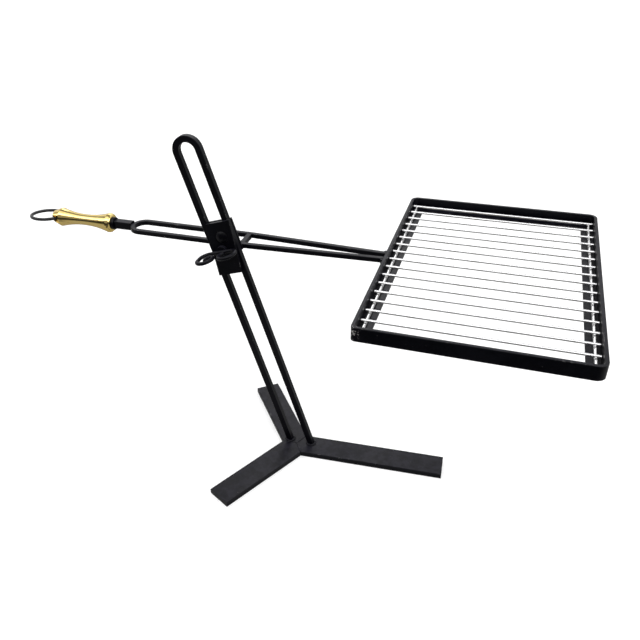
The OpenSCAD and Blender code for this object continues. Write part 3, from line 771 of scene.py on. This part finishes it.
def floor_material():
    """Floor that shows pale to the camera and keeps the shadow, and is darker to other rays."""
    material = bpy.data.materials.new("pale_floor")
    material.use_nodes = True
    tree = material.node_tree
    tree.nodes.clear()
    end = tree.nodes.new("ShaderNodeOutputMaterial")
    diffuse = tree.nodes.new("ShaderNodeBsdfDiffuse")
    glow = tree.nodes.new("ShaderNodeEmission")
    glow.inputs["Color"].default_value = (1, 1, 1, 1)
    light = tree.nodes.new("ShaderNodeLightPath")
    seen = add_math(tree, "MAXIMUM",
                    light.outputs["Is Camera Ray"], light.outputs["Is Transmission Ray"])
    tree.links.new(add_mix(tree, seen, FLOOR_UNSEEN, FLOOR_SEEN), diffuse.inputs["Color"])
    split = tree.nodes.new("ShaderNodeSeparateXYZ")
    tree.links.new(tree.nodes.new("ShaderNodeTexCoord").outputs["Object"], split.inputs[0])
    near = add_range(tree, split.outputs["Y"], *CARD_NEAR)
    left = add_range(tree, split.outputs["X"], *CARD_LEFT)
    far = add_range(tree, split.outputs["Y"], *CARD_FAR)
    card = add_math(tree, "MULTIPLY", add_math(tree, "MAXIMUM", near, left), far)
    card = add_math(tree, "ADD", share_of(tree, card, CARD_GLOW), CARD_REST)
    level = add_math(tree, "MULTIPLY", light.outputs["Is Glossy Ray"], card)
    level = add_math(tree, "ADD", share_of(tree, seen, FLOOR_GLOW), level)
    tree.links.new(level, glow.inputs["Strength"])
    both = tree.nodes.new("ShaderNodeAddShader")
    tree.links.new(diffuse.outputs[0], both.inputs[0])
    tree.links.new(glow.outputs[0], both.inputs[1])
    tree.links.new(both.outputs[0], end.inputs["Surface"])
    return material


def area_light(name, place, target, size, power):
    """A soft rectangular lamp that faces a point."""
    lamp = bpy.data.lights.new(name, "AREA")
    lamp.shape = "RECTANGLE"
    lamp.size, lamp.size_y = size
    lamp.energy = power
    holder = bpy.data.objects.new(name, lamp)
    holder.location = place
    way = Vector(target) - Vector(place)
    holder.rotation_euler = way.to_track_quat("-Z", "Y").to_euler()
    bpy.context.scene.collection.objects.link(holder)


def studio_world(scene):
    """Studio surroundings: bright behind, a strip light overhead, dim in front."""
    world = bpy.data.worlds.new("studio")
    world.use_nodes = True
    tree = world.node_tree
    tree.nodes.clear()
    end = tree.nodes.new("ShaderNodeOutputWorld")
    back = tree.nodes.new("ShaderNodeBackground")
    split = tree.nodes.new("ShaderNodeSeparateXYZ")
    tree.links.new(tree.nodes.new("ShaderNodeTexCoord").outputs["Generated"], split.inputs[0])
    height = add_math(tree, "MAXIMUM", split.outputs["Z"], PLACE_LEAST_HEIGHT)
    place = add_math(tree, "DIVIDE", share_of(tree, split.outputs["Y"], share=-1.0), height)
    level = add_range(tree, split.outputs["Z"], *BEHIND_RISE, *BEHIND_LEVELS)
    for low, high, strength in SKY_BANDS:
        level = add_range(tree, place, low, high, to_low=level, to_high=strength)
    front = add_range(tree, split.outputs["Z"], *FRONT_RISE, *FRONT_LEVELS)
    level = add_range(tree, place, *FRONT_PLACES, to_low=level, to_high=front)
    light = tree.nodes.new("ShaderNodeLightPath")
    seen = light.outputs["Is Camera Ray"]
    unseen = add_math(tree, "SUBTRACT", 1.0, seen)
    level = add_math(tree, "ADD", add_math(tree, "MULTIPLY", level, unseen), seen)
    back.inputs["Color"].default_value = (1, 1, 1, 1)
    tree.links.new(level, back.inputs["Strength"])
    tree.links.new(back.outputs[0], end.inputs["Surface"])
    scene.world = world


def photo_camera(scene):
    """Camera at the photograph's place and angle."""
    level = math.cos(CAMERA_PITCH)
    ahead = Vector((math.sin(CAMERA_YAW) * level, math.cos(CAMERA_YAW) * level,
                    -math.sin(CAMERA_PITCH)))
    side = Vector((math.cos(CAMERA_YAW), -math.sin(CAMERA_YAW), 0.0))
    down = ahead.cross(side)
    x_axis = side * math.cos(CAMERA_ROLL) + down * math.sin(CAMERA_ROLL)
    y_axis = side * math.sin(CAMERA_ROLL) - down * math.cos(CAMERA_ROLL)
    turn = Matrix((x_axis, y_axis, -ahead)).transposed()
    lens = bpy.data.cameras.new("camera")
    lens.lens = LENS_LENGTH
    lens.sensor_width = SENSOR_WIDTH
    lens.shift_x = LENS_SHIFT
    lens.clip_start = CLIP_START
    camera = bpy.data.objects.new("camera", lens)
    camera.matrix_world = Matrix.Translation(CAMERA_PLACE) @ turn.to_4x4()
    scene.collection.objects.link(camera)
    scene.camera = camera


class GRATE_OT_stage(Operator):
    """Sets out the pale floor, the soft lights and the camera"""

    bl_idname = "grate.stage"
    bl_label = "Stage"

    def execute(self, context):
        scene = context.scene
        corners = [(-FLOOR_HALF, -FLOOR_HALF, 0), (FLOOR_HALF, -FLOOR_HALF, 0),
                   (FLOOR_HALF, FLOOR_HALF, 0), (-FLOOR_HALF, FLOOR_HALF, 0)]
        mesh = bpy.data.meshes.new("floor")
        mesh.from_pydata(corners, [], [(0, 1, 2, 3)])
        floor = bpy.data.objects.new("floor", mesh)
        floor.data.materials.append(floor_material())
        floor.location.z = -FLOOR_DROP
        scene.collection.objects.link(floor)
        for lamp in LAMPS:
            area_light(*lamp)
        studio_world(scene)
        photo_camera(scene)
        scene.view_settings.view_transform = "Standard"
        return {"FINISHED"}


class GRATE_PT_panel(Panel):
    """Lists the pieces of the grill grate"""

    bl_idname = "GRATE_PT_panel"
    bl_label = "Grill grate"
    bl_space_type = "VIEW_3D"
    bl_region_type = "UI"
    bl_category = "Grill grate"

    def draw(self, context):
        for operator in OPERATORS:
            self.layout.operator(operator.bl_idname)
        for settings in (context.scene.grate_sizes, context.scene.grate_looks):
            box = self.layout.box()
            for name in settings.__annotations__:
                box.prop(settings, name)


OPERATORS = (GRATE_OT_black_iron, GRATE_OT_hub_weld, GRATE_OT_leg_welds, GRATE_OT_brass_handle,
             GRATE_OT_hanging_ring, GRATE_OT_wire_grid, GRATE_OT_stage)
CLASSES = (GrateSizes, GrateLooks, *OPERATORS, GRATE_PT_panel)


def register():
    """Registers the classes and their settings."""
    for cls in CLASSES:
        bpy.utils.register_class(cls)
    bpy.types.Scene.grate_sizes = PointerProperty(type=GrateSizes)
    bpy.types.Scene.grate_looks = PointerProperty(type=GrateLooks)


def unregister():
    """Removes the classes and their settings."""
    del bpy.types.Scene.grate_looks
    del bpy.types.Scene.grate_sizes
    for cls in reversed(CLASSES):
        bpy.utils.unregister_class(cls)


def main():
    """Makes every piece."""
    register()
    for operator in OPERATORS:
        group, name = operator.bl_idname.split(".")
        getattr(getattr(bpy.ops, group), name)()


if __name__ == "__main__":
    main()
